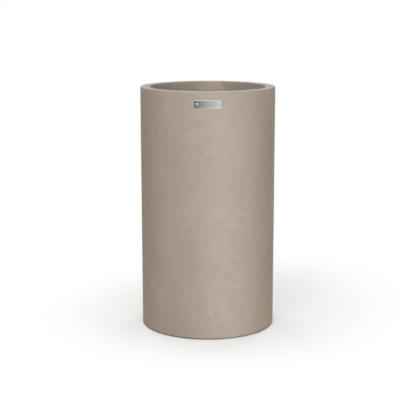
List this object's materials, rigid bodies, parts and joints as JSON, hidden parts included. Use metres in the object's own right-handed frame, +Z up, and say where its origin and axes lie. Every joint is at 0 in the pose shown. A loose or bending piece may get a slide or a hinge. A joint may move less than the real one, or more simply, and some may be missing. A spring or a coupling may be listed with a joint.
{
  "type": "tall round floor planter",
  "caption": "Tall round fibreglass floor planter with a flat inward rim, bonded floor, drain with pull-out bung, rubber feet and a bare riveted plate.",
  "frame": {"origin": "on the ground, at the planter's axis", "axes": "+Z up along the planter's axis, -Y towards the front with the plate, +X to the right seen from the front"},
  "size_m": [0.5, 0.502, 0.905],
  "materials": {
    "stone_finish": "matt, faintly mottled stone-coloured coat over glass-fibre laminate",
    "raw_laminate": "uncoated glass-fibre laminate with its chopped strands showing",
    "foam": "cut rigid foam",
    "plywood": "plywood, sealed in",
    "drain_plastic": "moulded black plastic",
    "black_rubber": "moulded rubber",
    "zinc_steel": "zinc-plated",
    "plate_steel": "stainless, finely brushed along its length, with a bright bevel",
    "rivet_steel": "bright stainless"
  },
  "bodies": {
    "planter": {"outer_shell": "stone_finish", "rim_core": "foam", "rim_core_cover": "raw_laminate", "floor_lower_skin": "raw_laminate", "floor_core": "plywood", "floor_upper_skin": "raw_laminate", "floor_cove_upper": "raw_laminate", "floor_cove_lower": "raw_laminate", "drain_collar": "drain_plastic", "drain_gasket": "black_rubber", "drain_locknut": "drain_plastic", "foot_front_left": "black_rubber", "foot_front_right": "black_rubber", "foot_back_right": "black_rubber", "foot_back_left": "black_rubber", "foot_washers": "zinc_steel", "foot_screws": "zinc_steel", "badge_plate": "plate_steel", "badge_rivet_left": "rivet_steel", "badge_rivet_right": "rivet_steel", "rivet_pin_left": "zinc_steel", "rivet_pin_right": "zinc_steel", "rivet_washer_left": "rivet_steel", "rivet_washer_right": "rivet_steel"},
    "bung": {"drain_bung": "black_rubber"}
  },
  "joints": [
    {"name": "bung_pull", "type": "slide", "parent": "planter", "child": "bung", "axis": [0, 0, 1], "range_m": [0, 0.06]}
  ]
}
